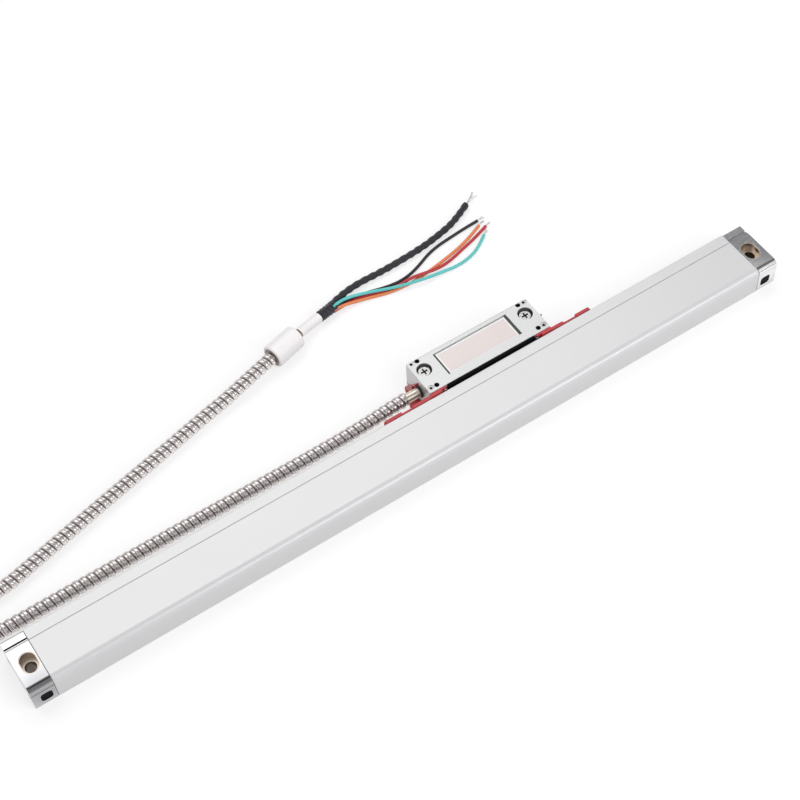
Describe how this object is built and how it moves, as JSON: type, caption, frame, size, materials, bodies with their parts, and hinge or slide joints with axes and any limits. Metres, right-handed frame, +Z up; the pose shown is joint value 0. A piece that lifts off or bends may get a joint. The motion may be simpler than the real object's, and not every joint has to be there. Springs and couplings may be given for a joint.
{
  "type": "linear glass scale",
  "caption": "Sealed linear encoder: slitted aluminium case with end caps, sliding reader head with transport brackets, and an armoured cable that ends in loose stripped wires.",
  "frame": {"origin": "bottom centre of the case and reader together, without the cable", "axes": "+X along the case, +Y from the case towards the reader, +Z up from the surface it lies on"},
  "size_m": [0.7314, 0.1938, 0.022],
  "materials": {
    "case_extrusion": "satin anodised",
    "cap_metal": "bright brushed",
    "glass": "clear",
    "black_rubber": "matt",
    "steel": "satin",
    "liner_brass": "worn",
    "black_plastic": "matt",
    "reader_metal": "satin grey-white",
    "bare_plate": "fine brushed, left bare",
    "board": "solder mask",
    "carriage_metal": "machined",
    "red_bracket": "gloss red",
    "ferrule_metal": "pale plated",
    "hose_steel": "interlocked strip",
    "fitting_metal": "bright",
    "jacket": "grey",
    "wire_black": "gloss",
    "wire_turquoise": "gloss",
    "wire_orange": "gloss",
    "wire_red": "gloss",
    "tinned_copper": "tinned strands"
  },
  "bodies": {
    "case": {"scale_case": "case_extrusion", "glass_scale": "glass", "glass_clamp_cord": "black_rubber", "lip_seal_upper": "black_rubber", "lip_seal_lower": "black_rubber", "end_cap_left": "cap_metal", "end_cap_right": "cap_metal", "end_gasket_left": "black_rubber", "end_gasket_right": "black_rubber", "end_cap_screws_left": "steel", "end_cap_screws_right": "steel", "mount_liner_left": "liner_brass", "mount_liner_right": "liner_brass", "port_plug_left": "black_plastic", "port_plug_right": "black_plastic"},
    "reader": {"reader_housing": "reader_metal", "reader_nameplate": "bare_plate", "reader_base_plate": "reader_metal", "reader_gasket": "black_rubber", "reader_front_seal": "black_rubber", "reader_bolts": "steel", "reader_corner_screws": "steel", "preamp_board": "board", "reader_blade": "steel", "coupling_wire": "steel", "transport_bracket_left": "red_bracket", "transport_bracket_right": "red_bracket", "bracket_screws": "steel", "gland_nut": "black_rubber", "cable_ferrule": "ferrule_metal", "carriage_frame": "carriage_metal", "scan_board": "board", "index_grating": "glass", "lamp_holder": "steel", "lamp_lens": "glass", "bearing_pins": "steel", "hose_out_run": "hose_steel", "hose_coil": "hose_steel", "hose_back_run": "hose_steel", "coil_ties": "black_plastic", "hose_end_fitting": "fitting_metal", "cable_jacket": "jacket", "shrink_sleeve": "black_rubber", "thick_black_wire": "wire_black", "turquoise_wire": "wire_turquoise", "orange_wire": "wire_orange", "red_wire": "wire_red", "thin_black_wire": "wire_black", "stripped_wire_ends": "tinned_copper"},
    "face_bearing_left": {"face_bearing_left": "steel"},
    "face_bearing_right": {"face_bearing_right": "steel"},
    "face_bearing_middle": {"face_bearing_middle": "steel"},
    "edge_bearing_left": {"edge_bearing_left": "steel"},
    "edge_bearing_right": {"edge_bearing_right": "steel"}
  },
  "joints": [
    {"name": "reader_slide", "type": "slide", "parent": "case", "child": "reader", "axis": [1, 0, 0], "range_m": [-0.2723, 0.1277]},
    {"name": "face_bearing_left_spin", "type": "hinge", "parent": "reader", "child": "face_bearing_left", "pos_m": [0.0483, -0.0205, 0.0085], "axis": [0, 1, 0], "continuous": true},
    {"name": "face_bearing_right_spin", "type": "hinge", "parent": "reader", "child": "face_bearing_right", "pos_m": [0.0963, -0.0205, 0.0085], "axis": [0, 1, 0], "continuous": true},
    {"name": "face_bearing_middle_spin", "type": "hinge", "parent": "reader", "child": "face_bearing_middle", "pos_m": [0.0723, -0.0122, 0.0085], "axis": [0, 1, 0], "continuous": true},
    {"name": "edge_bearing_left_spin", "type": "hinge", "parent": "reader", "child": "edge_bearing_left", "pos_m": [0.0503, -0.0078, 0.0131], "axis": [0, 0, 1], "continuous": true},
    {"name": "edge_bearing_right_spin", "type": "hinge", "parent": "reader", "child": "edge_bearing_right", "pos_m": [0.0943, -0.0078, 0.0131], "axis": [0, 0, 1], "continuous": true}
  ],
  "couplings": [
    {"joint": "face_bearing_left_spin", "follows": "reader_slide", "rad_per_m": -333.33},
    {"joint": "face_bearing_right_spin", "follows": "reader_slide", "rad_per_m": -333.33},
    {"joint": "face_bearing_middle_spin", "follows": "reader_slide", "rad_per_m": -333.33},
    {"joint": "edge_bearing_left_spin", "follows": "reader_slide", "rad_per_m": -333.33},
    {"joint": "edge_bearing_right_spin", "follows": "reader_slide", "rad_per_m": -333.33}
  ]
}
